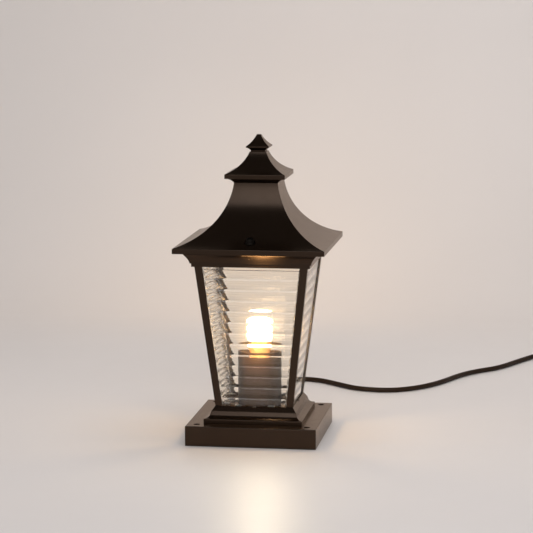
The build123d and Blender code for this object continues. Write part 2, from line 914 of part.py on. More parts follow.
def earth_lead():
    washer_bottom = base_cavity_height - earth_washer_thickness
    washer = Pos(earth_x, earth_y, 0) * post_cylinder(
        earth_washer_diameter, washer_bottom, base_cavity_height
    )
    start = Vector(way_places()[0], terminal_front, terminal_z)
    lead_reach = (earth_washer_diameter + small_screw_head_diameter) / 4
    end = Vector(earth_x + lead_reach, earth_y, base_cavity_height - lead_diameter / 2 - fit_gap)
    middle = Vector(start.X, earth_y, terminal_z)
    lead = tube([start, middle, end], lead_diameter, [lead_bend_radius])
    hole = Pos(earth_x, earth_y, 0) * post_cylinder(
        small_screw_diameter + 2 * fit_gap, washer_bottom, base_cavity_height
    )
    return washer + lead - hole


def lamp_leads():
    leads = []
    for way, side in zip(way_places()[-2:], (-1, 1)):
        corner = (side * lead_spacing / 2, 0, terminal_z)
        points = [(way, terminal_front, terminal_z), corner, (corner[0], 0, holder_bottom)]
        leads.append(tube(points, lead_diameter, [lead_bend_radius]))
    return Part() + leads - terminal_block()


def supply_cores():
    start_y = terminal_back + core_length
    cores = []
    for i, way in enumerate(way_places()):
        side = (i - (terminal_ways - 1) / 2) * (core_diameter + fit_gap)
        cores.append(tube([(side, start_y, gland_z), (way, terminal_back, terminal_z)], core_diameter, []))
    return Part() + cores - terminal_block() - inner_lead()


def inner_lead():
    inner_end = base_cavity_half - gland_nut_thickness
    return tube([(0, inner_end, gland_z), (0, terminal_back + core_length, gland_z)], cord_diameter, [])


# Cable gland: nut inside the wall, flange and grooved tapered boot outside it
def cable_gland():
    wall_inside = base_cavity_half
    flange_end = base_half + gland_flange_thickness
    gland = turned([
        (0, wall_inside - gland_nut_thickness),
        (gland_flange_diameter / 2, wall_inside - gland_nut_thickness),
        (gland_flange_diameter / 2, wall_inside),
        (gland_shank_diameter / 2, wall_inside),
        (gland_shank_diameter / 2, base_half),
        (gland_flange_diameter / 2, base_half),
        (gland_flange_diameter / 2, flange_end),
        (boot_root_diameter / 2, flange_end),
        (boot_tip_diameter / 2, boot_end),
        (0, boot_end),
    ])
    groove_pitch = boot_length / (boot_groove_count + 1)
    for i in range(boot_groove_count):
        share = (i + 1) / (boot_groove_count + 1)
        outside = boot_root_diameter + (boot_tip_diameter - boot_root_diameter) * share
        middle = flange_end + (i + 1) * groove_pitch
        low = middle - boot_groove_width / 2
        high = middle + boot_groove_width / 2
        band = post_cylinder(boot_root_diameter, low, high)
        gland -= band - post_cylinder(outside - 2 * boot_groove_depth, low, high)
    return Pos(0, 0, gland_z) * Rot(-90, 0, 0) * gland


# Supply cord: out of the boot, down to the floor, round behind the light and off to the right
cord_points = [
    (0, boot_end, gland_z),
    (0, 136, gland_z),
    (-5, 162, 5.2),
    (-15, 199, cord_rest),
    (-28, 246, cord_rest),
    (-34, 292, cord_rest),
    (-32, 330, cord_rest),
    (-4, 364, cord_rest),
    (34, 360, cord_rest),
    (72, 325, cord_rest),
    (99, 301, cord_rest),
    (148, 293, cord_rest),
    (187, 319, cord_rest),
    (217, 364, cord_rest),
    (240, 421, cord_rest),
    (264, 458, cord_rest),
    (297, 489, cord_rest),
    (326, 552, cord_rest),
    (351, 600, cord_rest),
    (366, 625, 4.4),
]

# Plug lead: off the top of the coil and up to the plug
plug_lead_points = [
    (plug_x, 594, 11.0),
    (plug_x, 576, 11.6),
    (plug_x, 557, plug_axis_height),
    (plug_x, plug_y, plug_axis_height),
]


def bend_radii(points):
    """Arc at each corner, which takes up one share of the shorter run."""
    vectors = [Vector(*point) for point in points]
    radii = []
    for before, here, after in zip(vectors, vectors[1:], vectors[2:]):
        turn = math.radians((here - before).get_angle(after - here))
        run = min((here - before).length, (after - here).length)
        radii.append(cord_bend_share * run / math.tan(turn / 2))
    return radii


def cord_tube(points):
    return tube(points, cord_diameter, bend_radii(points)) - cord_coil()


def cord_coil():
    top = tie_thickness + coil_height
    ring = post_cylinder(coil_outer_diameter, tie_thickness, top)
    return Pos(coil_x, coil_y, 0) * (ring - post_cylinder(coil_inner_diameter, tie_thickness, top))


def coil_tie():
    middle = (coil_outer_diameter + coil_inner_diameter) / 4
    depth = (coil_outer_diameter - coil_inner_diameter) / 2 + 2 * tie_thickness
    band = Pos(middle, 0, 0) * Box(depth, tie_width, coil_height + 2 * tie_thickness, align=STAND)
    return Pos(coil_x, coil_y, 0) * Rot(0, 0, tie_angle) * band - cord_coil()


# Plug: round moulded body on a tapered boot, pointing towards the front
def plug_place():
    return Pos(plug_x, plug_y, plug_axis_height) * Rot(90, 0, 0)


def plug_body():
    body = turned([
        (0, 0),
        (plug_boot_tip_diameter / 2, 0),
        (plug_boot_root_diameter / 2, plug_boot_length),
        (plug_body_diameter / 2, plug_boot_length + plug_shoulder_length),
        (plug_body_diameter / 2, plug_boot_length + plug_body_length),
        (0, plug_boot_length + plug_body_length),
    ])
    flat_place = plug_body_diameter / 2 - plug_flat_depth
    for angle in (0, 180):
        flat = Pos(flat_place, 0, plug_boot_length + plug_shoulder_length) * Box(
            plug_body_diameter, plug_body_diameter, plug_body_length,
            align=(Align.MIN, Align.CENTER, Align.MIN),
        )
        body -= Rot(0, 0, angle) * flat
    return plug_place() * body


def plug_pins():
    face = plug_boot_length + plug_body_length
    pin = fillet(
        post_cylinder(pin_diameter, face, face + pin_length).edges().sort_by(Axis.Z)[-1], pin_diameter / 4
    )
    return plug_place() * (Part() + [Pos(side * pin_spacing / 2, 0, 0) * pin for side in (-1, 1)])


parts = {
    "base_flange": base_flange(),
    "plinth": plinth(),
    "plinth_screws": plinth_screws(),
    "frame_screws": frame_screws(),
    "lower_frame": lower_frame(),
    "cornice": cornice(),
    "glass_clips": glass_clips(),
    "glass_clip_screws": glass_clip_screws(),
    "roof": roof(),
    "thumb_screw_front": thumb_screw(-thumb_offset),
    "thumb_screw_back": thumb_screw(thumb_offset),
    "upper_roof": upper_roof(),
    "finial": finial(),
    "roof_washer": roof_washer(),
    "roof_nut": roof_nut(),
    "roof_tie_rod": roof_tie_rod(),
    "lamp_sleeve": lamp_sleeve(),
    "lamp_holder": lamp_holder(),
    "holder_screws": holder_screws(),
    "socket_shell": socket_shell(),
    "socket_contact": socket_contact(),
    "bulb_cap": bulb_cap(),
    "bulb_contact": bulb_contact(),
    "bulb_glass": bulb_glass(),
    "terminal_block": terminal_block(),
    "terminal_screws": terminal_screws(),
    "terminal_fixing_screw": terminal_fixing_screw(),
    "earth_screw": earth_screw(),
    "earth_lead": earth_lead(),
    "lamp_leads": lamp_leads(),
    "supply_cores": supply_cores(),
    "inner_lead": inner_lead(),
    "cable_gland": cable_gland(),
    "supply_cord": cord_tube(cord_points),
    "cord_coil": cord_coil(),
    "coil_tie": coil_tie(),
    "plug_lead": cord_tube(plug_lead_points),
    "plug_body": plug_body(),
    "plug_pins": plug_pins(),
}
post = corner_post()
pane = glass_pane()
post_names = ("front_right", "back_right", "back_left", "front_left")
pane_names = ("front", "right", "back", "left")
for turn, post_name, pane_name in zip(side_turns(), post_names, pane_names):
    parts["corner_post_" + post_name] = turn * post
    parts["glass_" + pane_name] = turn * pane

os.makedirs("parts", exist_ok=True)
for name, shape in parts.items():
    export_step(shape, "parts/" + name + ".step")

print("cord bend radii", [round(radius, 1) for radius in bend_radii(cord_points)])
print("plug lead bend radii", [round(radius, 1) for radius in bend_radii(plug_lead_points)])
print("total height", finial_top)
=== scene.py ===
"""Gate pillar light: finishes, fluted panes, lit bulb and supply cord, dressed round the solid model.

Lengths are in metres and angles in degrees, but for the lens and the sensor, which are in millimetres.
"""

import math

import bmesh
import bpy
from mathutils import Matrix, Vector


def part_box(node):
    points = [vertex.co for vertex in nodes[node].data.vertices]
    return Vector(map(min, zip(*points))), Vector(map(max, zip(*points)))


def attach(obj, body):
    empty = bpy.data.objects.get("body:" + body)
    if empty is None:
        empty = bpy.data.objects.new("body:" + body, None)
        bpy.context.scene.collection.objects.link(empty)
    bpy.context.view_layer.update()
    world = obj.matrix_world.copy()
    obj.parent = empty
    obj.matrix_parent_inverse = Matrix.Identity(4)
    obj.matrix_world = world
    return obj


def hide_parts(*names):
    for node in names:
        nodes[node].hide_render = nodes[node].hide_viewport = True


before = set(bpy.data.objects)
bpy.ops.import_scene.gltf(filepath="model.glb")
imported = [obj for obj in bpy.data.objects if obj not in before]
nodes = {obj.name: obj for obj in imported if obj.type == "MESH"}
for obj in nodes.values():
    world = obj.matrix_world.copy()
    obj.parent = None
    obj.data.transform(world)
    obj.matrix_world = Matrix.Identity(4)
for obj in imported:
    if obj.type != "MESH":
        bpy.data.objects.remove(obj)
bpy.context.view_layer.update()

# Camera's place and lens
camera_azimuth = 8.722
camera_elevation = 8.5005
camera_roll = -0.1919
camera_distance = 3.050
camera_target = Vector((0.0092, 0.0014, 0.2290))
camera_lens = 153.46
camera_far = 50.0
sensor_width = 36.0

# Floor and backdrop
floor_drop = 0.0003
floor_front = 4.0
floor_half_width = 4.0
floor_low = (0.70, 0.655, 0.625)
floor_high = (0.72, 0.675, 0.645)
floor_rough = (0.41, 0.45)
floor_mottle = 0.5
floor_gloss_mottle = 0.05
backdrop_start = 0.90
backdrop_radius = 0.70
backdrop_height = 1.3
backdrop_steps = 24

# Supply cord
cord_diameter = 0.007
cord_round_steps = 6
cord_line_steps = 8
cord_spline_order = 3
cord_route = [
    (0.0, 0.1140, 0.01075),
    (0.0, 0.1360, 0.01075),
    (-0.005, 0.162, 0.0052),
    (-0.015, 0.199, 0.0036),
    (-0.028, 0.246, 0.0036),
    (-0.034, 0.292, 0.0036),
    (-0.032, 0.330, 0.0036),
    (-0.004, 0.364, 0.0036),
    (0.034, 0.360, 0.0036),
    (0.072, 0.325, 0.0036),
    (0.099, 0.301, 0.0036),
    (0.148, 0.293, 0.0036),
    (0.187, 0.319, 0.0036),
    (0.217, 0.364, 0.0036),
    (0.240, 0.421, 0.0036),
    (0.264, 0.458, 0.0036),
    (0.297, 0.489, 0.0036),
    (0.326, 0.552, 0.0036),
    (0.351, 0.600, 0.0036),
    (0.366, 0.625, 0.0044),
]
plug_route = [
    (0.4495, 0.594, 0.0110),
    (0.4495, 0.576, 0.0116),
    (0.4495, 0.557, 0.0186),
    (0.4495, 0.538, 0.0186),
]

# Coil of the put-away length
coil_centre = Vector((0.411, 0.618, 0.0))
coil_entry_angle = 148.6
coil_sweep = 868.6
coil_step = 15.0
coil_floor_height = 0.0045
coil_top_height = 0.0110
coil_outer_radius = 0.0420
coil_inner_radius = 0.0350
coil_top_radius = 0.0385
coil_inward_start = 290.0
coil_inward_span = 90.0
coil_raise_start = 620.0
coil_raise_span = 70.0

# Fluted panes
pane_thickness = 0.0040
flute_count = 13
flute_pitch = 0.0149
flute_head_margin = 0.0014
flute_depth = 0.0012
flute_land = 0.0006
flute_steps = 22
flute_foot_gap = 0.0001
side_border = 0.0033
side_ramp = 0.0020
side_ramp_steps = 4
head_border = 0.0063
head_ramp = 0.0005
field_columns = 16

# Glass of the panes
glass_tint = (0.990, 0.972, 0.928)
glass_ior = 1.50
glass_rough = (0.0, 0.03)
glass_rough_mottle = 0.02
glass_wave = 0.012
glass_wave_depth = 0.00001
haze_share = 0.024
# The haze scatters the bulb's real light; its amber tint is a painted warm glow round the bulb
haze_painted_glow = (1.0, 0.72, 0.36)
haze_rough = 0.40
clear_tint = (0.92, 0.93, 0.91)
near_pane_mirror = 0.90
far_pane_mirror = 0.30

# Lit bulb
bulb_globe_radius = 0.0175
bulb_neck_radius = 0.0124
bulb_top_angle = 89.0
bulb_seam = 0.0002
bulb_sides = 64
bulb_steps = 24
bulb_glow_height = 0.126
bulb_glow = 58.0
bulb_colour = (1.0, 0.82, 0.60)
neck_glow = 0.0
globe_low = (0.90, 0.85, 0.76)
globe_high = (0.95, 0.91, 0.84)
# Bulb neck: the same frosted glass as the globe, painted dark amber as painted shade of the dimmer neck
neck_shade_low = (0.52, 0.30, 0.13)
neck_shade_high = (0.56, 0.33, 0.15)
frost_mottle = 0.01
frost_rough = (0.45, 0.60)
frost_rough_mottle = 0.004

# Bulb's own light
bulb_light_gap = 0.0006
bulb_light_power = 0.7
bulb_light_colour = (1.0, 0.68, 0.36)

# Light from all round
horizon_light = (0.58, 0.555, 0.535)
overhead_light = (0.06, 0.058, 0.056)
horizon_height = 0.05
overhead_height = 0.65
backdrop_colour = (0.585, 0.545, 0.54)

# Bulb's stray light on the cornice: strips in one place, with their widths and powers
eave_glow_place = (0.018, -0.0915, 0.2530)
eave_glow_target = (0.018, -0.0868, 0.2548)
eave_glow_height = 0.003
eave_glow_colour = (1.0, 0.70, 0.34)
eave_glow_strips = ((0.058, 0.020), (0.036, 0.050), (0.018, 0.06))

# Wires, with the sideways places where one colour meets the next
brown_wire = (0.16, 0.060, 0.022)
blue_wire = (0.030, 0.090, 0.34)
earth_wire = (0.30, 0.42, 0.040)
wire_shade = 0.85
wire_grain = 0.002
wire_rough = (0.35, 0.45)
lamp_lead_borders = (0.003,)
core_borders = (-0.001, 0.001)

# All finishes
mottle_start = 0.3
mottle_end = 0.7
mottle_size = 0.03
mottle_detail = 4.0
gloss_mottle_share = 1 / 3
edge_samples = 8

# Edges of the panes and the bulb stay sharp above this angle
sharp_angle = 50.0


def smooth_share(value):
    """Eased share from 0 to 1."""
    share = min(1.0, max(0.0, value))
    return share * share * (3 - 2 * share)


def mix_values(start, end, share):
    return start + (end - start) * share


# Camera
def view_axes():
    """Back, right and up directions of the camera, with its roll."""
    azimuth = math.radians(camera_azimuth)
    elevation = math.radians(camera_elevation)
    roll = math.radians(camera_roll)
    back = Vector((
        math.sin(azimuth) * math.cos(elevation),
        -math.cos(azimuth) * math.cos(elevation),
        math.sin(elevation),
    ))
    level_right = Vector((math.cos(azimuth), math.sin(azimuth), 0.0))
    level_up = back.cross(level_right)
    right = math.cos(roll) * level_right + math.sin(roll) * level_up
    up = math.cos(roll) * level_up - math.sin(roll) * level_right
    return back, right, up


def make_camera():
    back, right, up = view_axes()
    data = bpy.data.cameras.new("camera")
    data.sensor_width = sensor_width
    data.lens = camera_lens
    data.clip_end = camera_far
    camera = bpy.data.objects.new("camera", data)
    bpy.context.scene.collection.objects.link(camera)
    place = camera_target + back * camera_distance
    camera.matrix_world = Matrix.Translation(place) @ Matrix((right, up, back)).transposed().to_4x4()
    bpy.context.scene.camera = camera


# Supply cord
def coil_points():
    """Turns of the put-away length: an outer and an inner turn on the floor, then one on top of them."""
    points = []
    for i in range(int(coil_sweep / coil_step) + 1):
        turned = i * coil_step
        inward = smooth_share((turned - coil_inward_start) / coil_inward_span)
        raised = smooth_share((turned - coil_raise_start) / coil_raise_span)
        ring = mix_values(coil_outer_radius, coil_inner_radius, inward)
        radius = mix_values(ring, coil_top_radius, raised)
        height = mix_values(coil_floor_height, coil_top_height, raised)
        angle = math.radians(coil_entry_angle - turned)
        spoke = Vector((math.cos(angle), math.sin(angle), 0.0))
        points.append(coil_centre + spoke * radius + Vector((0.0, 0.0, height)))
    return points


def make_cord(material):
    points = [Vector(point) for point in cord_route]
    points += coil_points()
    points += [Vector(point) for point in plug_route]
    curve = bpy.data.curves.new("supply_cord", "CURVE")
    curve.dimensions = "3D"
    curve.bevel_depth = cord_diameter / 2
    curve.bevel_resolution = cord_round_steps
    curve.use_fill_caps = True
    curve.resolution_u = cord_line_steps
    spline = curve.splines.new("NURBS")
    spline.points.add(len(points) - 1)
    for control, point in zip(spline.points, points):
        control.co = (*point, 1.0)
    spline.order_u = cord_spline_order
    spline.use_endpoint_u = True
    cord = bpy.data.objects.new("cord", curve)
    bpy.context.scene.collection.objects.link(cord)
    cord.data.materials.append(material)
    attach(cord, "lantern")
    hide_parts("supply_cord", "cord_coil", "plug_lead")


# Node helpers for the materials
def new_material(name):
    material = bpy.data.materials.new(name)
    material.use_nodes = True
    tree = material.node_tree
    return material, tree, tree.nodes["Principled BSDF"]


def noise(tree, size, detail=2.0):
    """Noise whose features are about one size across, in metres."""
    coords = tree.nodes.new("ShaderNodeTexCoord")
    texture = tree.nodes.new("ShaderNodeTexNoise")
    texture.inputs["Scale"].default_value = 1.0 / size
    texture.inputs["Detail"].default_value = detail
    tree.links.new(coords.outputs["Object"], texture.inputs["Vector"])
    return texture.outputs["Fac"]


def ramp(tree, source, low, high, start=mottle_start, end=mottle_end):
    """Colour that goes from low to high as the source rises from start to end."""
    node = tree.nodes.new("ShaderNodeValToRGB")
    node.color_ramp.elements[0].position = start
    node.color_ramp.elements[0].color = (*low, 1.0)
    node.color_ramp.elements[1].position = end
    node.color_ramp.elements[1].color = (*high, 1.0)
    tree.links.new(source, node.inputs["Fac"])
    return node.outputs["Color"]


def scale_value(tree, source, low, high):
    """Value that goes from low to high over the mottling's range."""
    node = tree.nodes.new("ShaderNodeMapRange")
    node.inputs["From Min"].default_value = mottle_start
    node.inputs["From Max"].default_value = mottle_end
    node.inputs["To Min"].default_value = low
    node.inputs["To Max"].default_value = high
    tree.links.new(source, node.inputs["Value"])
    return node.outputs["Result"]


def add_bump(tree, principled, source, depth, edge=0.0):
    """Relief of one depth in metres, over edges eased to one radius."""
    node = tree.nodes.new("ShaderNodeBump")
    node.inputs["Distance"].default_value = depth
    tree.links.new(source, node.inputs["Height"])
    tree.links.new(node.outputs["Normal"], principled.inputs["Normal"])
    if edge:
        eased = tree.nodes.new("ShaderNodeBevel")
        eased.samples = edge_samples
        eased.inputs["Radius"].default_value = edge
        tree.links.new(eased.outputs["Normal"], node.inputs["Normal"])


def mix_shaders(tree, share, first, second):
    mix = tree.nodes.new("ShaderNodeMixShader")
    tree.links.new(share, mix.inputs["Fac"])
    tree.links.new(first, mix.inputs[1])
    tree.links.new(second, mix.inputs[2])
    return mix.outputs["Shader"]


def finish(name, low, high, rough, grain, relief, metallic=0.0, edge=0.0):
    """Opaque finish: colour mottled between two tones, uneven gloss, a fine grain and eased edges."""
    material, tree, principled = new_material(name)
    tone = noise(tree, mottle_size, mottle_detail)
    gloss = noise(tree, mottle_size * gloss_mottle_share)
    tree.links.new(ramp(tree, tone, low, high), principled.inputs["Base Color"])
    tree.links.new(scale_value(tree, gloss, *rough), principled.inputs["Roughness"])
    principled.inputs["Metallic"].default_value = metallic
    add_bump(tree, principled, noise(tree, grain), relief, edge)
    return material


def wire_plastic(name, borders, colours):
    """Wire insulation whose colour changes from wire to wire at sideways borders, in metres."""
    material, tree, principled = new_material(name)
    coords = tree.nodes.new("ShaderNodeTexCoord")
    parts = tree.nodes.new("ShaderNodeSeparateXYZ")
    tree.links.new(coords.outputs["Object"], parts.inputs["Vector"])
    grain = noise(tree, wire_grain)
    tones = [ramp(tree, grain, [wire_shade * part for part in colour], colour) for colour in colours]
    shown = tones[0]
    for border, tone in zip(borders, tones[1:]):
        above = tree.nodes.new("ShaderNodeMath")
        above.operation = "GREATER_THAN"
        above.inputs[1].default_value = border
        tree.links.new(parts.outputs["X"], above.inputs[0])
        choice = tree.nodes.new("ShaderNodeMix")
        choice.data_type = "RGBA"
        tree.links.new(above.outputs["Value"], choice.inputs["Factor"])
        tree.links.new(shown, choice.inputs["A"])
        tree.links.new(tone, choice.inputs["B"])
        shown = choice.outputs["Result"]
    tree.links.new(shown, principled.inputs["Base Color"])
    tree.links.new(scale_value(tree, grain, *wire_rough), principled.inputs["Roughness"])
    return material


# Glass
def pane_glass(name, mirror):
    """Clear pressed glass with a faint haze, tinted amber as a painted warm glow round the bulb, and one
    share of real glass's mirroring.

    Lamp light, and reflected light that has not passed glass yet, goes straight through it.
    """
    material, tree, principled = new_material(name)
    principled.inputs["Base Color"].default_value = (*glass_tint, 1.0)
    principled.inputs["Transmission Weight"].default_value = 1.0
    principled.inputs["IOR"].default_value = glass_ior
    principled.inputs["Specular Tint"].default_value = (mirror, mirror, mirror, 1.0)
    rough = scale_value(tree, noise(tree, glass_rough_mottle), *glass_rough)
    tree.links.new(rough, principled.inputs["Roughness"])
    add_bump(tree, principled, noise(tree, glass_wave), glass_wave_depth)
    # Rough glass that scatters the bulb's real light, with an amber colour that paints a warm glow.
    haze = tree.nodes.new("ShaderNodeBsdfGlass")
    haze.inputs["Color"].default_value = (*haze_painted_glow, 1.0)
    haze.inputs["Roughness"].default_value = haze_rough
    hazy = tree.nodes.new("ShaderNodeMixShader")
    hazy.inputs["Fac"].default_value = haze_share
    tree.links.new(principled.outputs["BSDF"], hazy.inputs[1])
    tree.links.new(haze.outputs["BSDF"], hazy.inputs[2])
    straight = tree.nodes.new("ShaderNodeBsdfTransparent")
    straight.inputs["Color"].default_value = (*clear_tint, 1.0)
    glass = hazy.outputs["Shader"]
    clear = straight.outputs["BSDF"]
    rays = tree.nodes.new("ShaderNodeLightPath")
    reflected = mix_shaders(tree, rays.outputs["Transmission Depth"], clear, glass)
    seen = mix_shaders(tree, rays.outputs["Is Reflection Ray"], glass, reflected)
    shown = mix_shaders(tree, rays.outputs["Is Shadow Ray"], seen, clear)
    tree.links.new(shown, tree.nodes["Material Output"].inputs["Surface"])
    return material


def bulb_frost(name, low, high, glow):
    """Frosted bulb glass, mottled between two tones, with one strength of glow."""
    material, tree, principled = new_material(name)
    tone = ramp(tree, noise(tree, frost_mottle), low, high)
    rough = scale_value(tree, noise(tree, frost_rough_mottle), *frost_rough)
    tree.links.new(tone, principled.inputs["Base Color"])
    tree.links.new(rough, principled.inputs["Roughness"])
    principled.inputs["Emission Color"].default_value = (*bulb_colour, 1.0)
    principled.inputs["Emission Strength"].default_value = glow
    return material


# Meshes
def new_piece(name, mesh, material):
    """Piece from a finished mesh, smooth but for its sharp edges."""
    data = bpy.data.meshes.new(name)
    mesh.to_mesh(data)
    mesh.free()
    data.polygons.foreach_set("use_smooth", [True] * len(data.polygons))
    data.set_sharp_from_angle(angle=math.radians(sharp_angle))
    data.materials.append(material)
    piece = bpy.data.objects.new(name, data)
    bpy.context.scene.collection.objects.link(piece)
    return piece


# Fluted panes, rebuilt with smooth flutes where the solid panes stand
def pane_frame(name):
    """Foot, head, sideways direction and half-widths of a pane's outer face, read from its solid."""
    points = [vertex.co.copy() for vertex in nodes[name].data.vertices]
    middle = sum(points, Vector()) / len(points)
    outward = Vector((middle.x, middle.y, 0.0)).normalized()
    side = Vector((-outward.y, outward.x, 0.0))
    foot_point = min(points, key=lambda point: point.z)
    head_point = max(points, key=lambda point: point.dot(outward))
    foot = outward * foot_point.dot(outward) + Vector((0.0, 0.0, foot_point.z))
    head = outward * head_point.dot(outward) + Vector((0.0, 0.0, head_point.z))
    return foot, head, side, abs(foot_point.dot(side)), abs(head_point.dot(side))


def flute_rows(foot, head):
    """Distances up the pane and how deep the flutes are there; the lowest flute runs off the foot."""
    slant = (head - foot).length / (head.z - foot.z)
    first = (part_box("cornice")[0].z - flute_head_margin - foot.z) * slant
    pitch = flute_pitch * slant
    half_chord = (pitch - flute_land) / 2
    radius = (half_chord ** 2 + flute_depth ** 2) / (2 * flute_depth)

    def depth_at(offset):
        return math.sqrt(radius ** 2 - offset ** 2) - radius + flute_depth

    lowest_middle = first - (flute_count - 0.5) * pitch
    rows = [(0.0, depth_at(min(half_chord, lowest_middle)))]
    for i in reversed(range(flute_count)):
        middle = first - (i + 0.5) * pitch
        for j in range(flute_steps + 1):
            offset = half_chord * (2 * j / flute_steps - 1)
            if middle + offset > flute_foot_gap:
                rows.append((middle + offset, depth_at(offset)))
    top = (head - foot).length
    field_top = top - head_border
    rows = [(distance, depth) for distance, depth in rows if distance < field_top - head_ramp]
    rows += [(field_top - head_ramp, depth_at(first - pitch / 2 - field_top + head_ramp))]
    rows += [(field_top, 0.0), (top, 0.0)]
    return rows


def column_places(half):
    """Sideways places across a pane of one half-width, with the share of the flute's depth at each."""
    field = half - side_border
    flat = field - side_ramp
    inner = [(flat * (2 * i / field_columns - 1), 1.0) for i in range(field_columns + 1)]
    steps = [i / side_ramp_steps for i in range(side_ramp_steps)]
    right = [(half, 0.0)] + [(field - side_ramp * step, smooth_share(step)) for step in steps]
    left = [(-place, share) for place, share in right]
    return left + inner + right[::-1]


def make_pane(name, material):
    foot, head, side, foot_half, head_half = pane_frame(name)
    up = (head - foot).normalized()
    inward = up.cross(side)
    if inward.dot(foot) > 0:
        inward = -inward
    mesh = bmesh.new()
    outer = []
    inner = []
    for distance, depth in flute_rows(foot, head):
        share = distance / (head - foot).length
        columns = column_places(mix_values(foot_half, head_half, share))
        level = foot + up * distance
        outer.append([mesh.verts.new(level + side * place) for place, _ in columns])
        inner.append([
            mesh.verts.new(level + side * place + inward * (pane_thickness - depth * part))
            for place, part in columns
        ])
    for layer in (outer, inner):
        for low, high in zip(layer, layer[1:]):
            for i in range(len(low) - 1):
                mesh.faces.new((low[i], low[i + 1], high[i + 1], high[i]))
    for ends in ((outer[0], inner[0]), (outer[-1], inner[-1])):
        for i in range(len(ends[0]) - 1):
            mesh.faces.new((ends[0][i], ends[0][i + 1], ends[1][i + 1], ends[1][i]))
    for column in (0, -1):
        for i in range(len(outer) - 1):
            mesh.faces.new((outer[i][column], outer[i + 1][column], inner[i + 1][column], inner[i][column]))
    bmesh.ops.recalc_face_normals(mesh, faces=mesh.faces)
    pane = new_piece(name + "_fluted", mesh, material)
    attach(pane, "lantern")
    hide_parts(name)


# Lit bulb, turned smooth where the solid bulb stands
def turned_piece(name, profile, material):
    """Closed round piece about the lamp's axis from (radius, height) points, lowest first."""
    mesh = bmesh.new()
    turns = [math.tau * i / bulb_sides for i in range(bulb_sides)]
    rings = []
    for radius, height in profile:
        rings.append([mesh.verts.new((radius * math.cos(a), radius * math.sin(a), height)) for a in turns])
    for low, high in zip(rings, rings[1:]):
        for i in range(bulb_sides):
            j = (i + 1) % bulb_sides
            mesh.faces.new((low[i], low[j], high[j], high[i]))
    mesh.faces.new(rings[0][::-1])
    mesh.faces.new(rings[-1])
    piece = new_piece(name, mesh, material)
    piece.visible_shadow = False
    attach(piece, "bulb")
    return piece


def make_bulb():
    """Round globe on a slanting neck; the part that glows starts at one height on the neck."""
    low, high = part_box("bulb_glass")
    centre = high.z - bulb_globe_radius
    distance = math.hypot(bulb_neck_radius, centre - low.z)
    slope = math.atan2(centre - low.z, -bulb_neck_radius) - math.asin(bulb_globe_radius / distance)
    start = slope - math.pi / 2
    end = math.radians(bulb_top_angle)
    angles = [mix_values(start, end, i / bulb_steps) for i in range(bulb_steps + 1)]
    globe = [(bulb_globe_radius * math.cos(a), centre + bulb_globe_radius * math.sin(a)) for a in angles]
    share = (bulb_glow_height - low.z) / (globe[0][1] - low.z)
    glow_foot = (mix_values(bulb_neck_radius, globe[0][0], share), bulb_glow_height)
    neck = [(bulb_neck_radius, low.z), (glow_foot[0], glow_foot[1] - bulb_seam)]
    globe_frost = bulb_frost("bulb_frost", globe_low, globe_high, bulb_glow)
    lit = turned_piece("bulb_globe", [glow_foot] + globe, globe_frost)
    lit.visible_diffuse = False
    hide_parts("bulb_glass")
    # The neck wears a dark amber copy of the bulb's frosted glass: painted shade of the dimmer neck.
    neck_frost = bulb_frost("bulb_neck_frost_painted_shade", neck_shade_low, neck_shade_high, neck_glow)
    turned_piece("bulb_neck", neck, neck_frost)


# Floor and backdrop in one sweep, clear from behind
def make_stage():
    material, tree, principled = new_material("pale_floor")
    tone = ramp(tree, noise(tree, floor_mottle), floor_low, floor_high)
    rough = scale_value(tree, noise(tree, floor_gloss_mottle), *floor_rough)
    tree.links.new(tone, principled.inputs["Base Color"])
    tree.links.new(rough, principled.inputs["Roughness"])
    geometry = tree.nodes.new("ShaderNodeNewGeometry")
    clear = tree.nodes.new("ShaderNodeBsdfTransparent")
    behind = geometry.outputs["Backfacing"]
    shown = mix_shaders(tree, behind, principled.outputs["BSDF"], clear.outputs["BSDF"])
    tree.links.new(shown, tree.nodes["Material Output"].inputs["Surface"])
    profile = [(-floor_front, -floor_drop)]
    for i in range(backdrop_steps + 1):
        angle = math.radians(90) * i / backdrop_steps
        profile.append((
            backdrop_start + backdrop_radius * math.sin(angle),
            backdrop_radius * (1 - math.cos(angle)) - floor_drop,
        ))
    profile.append((backdrop_start + backdrop_radius, backdrop_height))
    data = bpy.data.meshes.new("stage")
    points = [(side * floor_half_width, y, z) for y, z in profile for side in (-1, 1)]
    faces = [(2 * i, 2 * i + 1, 2 * i + 3, 2 * i + 2) for i in range(len(profile) - 1)]
    data.from_pydata(points, [], faces)
    data.polygons.foreach_set("use_smooth", [True] * len(data.polygons))
    data.materials.append(material)
    stage = bpy.data.objects.new("stage", data)
    bpy.context.scene.collection.objects.link(stage)


# Light
def make_world():
    """Even light from all round, dim overhead; pale where it is seen straight or through glass."""
    world = bpy.data.worlds.new("studio")
    bpy.context.scene.world = world
    world.use_nodes = True
    tree = world.node_tree
    coords = tree.nodes.new("ShaderNodeTexCoord")
    parts = tree.nodes.new("ShaderNodeSeparateXYZ")
    tree.links.new(coords.outputs["Generated"], parts.inputs["Vector"])
    sky = ramp(tree, parts.outputs["Z"], horizon_light, overhead_light, horizon_height, overhead_height)
    rays = tree.nodes.new("ShaderNodeLightPath")
    seen = tree.nodes.new("ShaderNodeMath")
    seen.operation = "MAXIMUM"
    tree.links.new(rays.outputs["Is Camera Ray"], seen.inputs[0])
    tree.links.new(rays.outputs["Is Transmission Ray"], seen.inputs[1])
    choice = tree.nodes.new("ShaderNodeMix")
    choice.data_type = "RGBA"
    choice.inputs["B"].default_value = (*backdrop_colour, 1.0)
    tree.links.new(seen.outputs["Value"], choice.inputs["Factor"])
    tree.links.new(sky, choice.inputs["A"])
    tree.links.new(choice.outputs["Result"], tree.nodes["Background"].inputs["Color"])


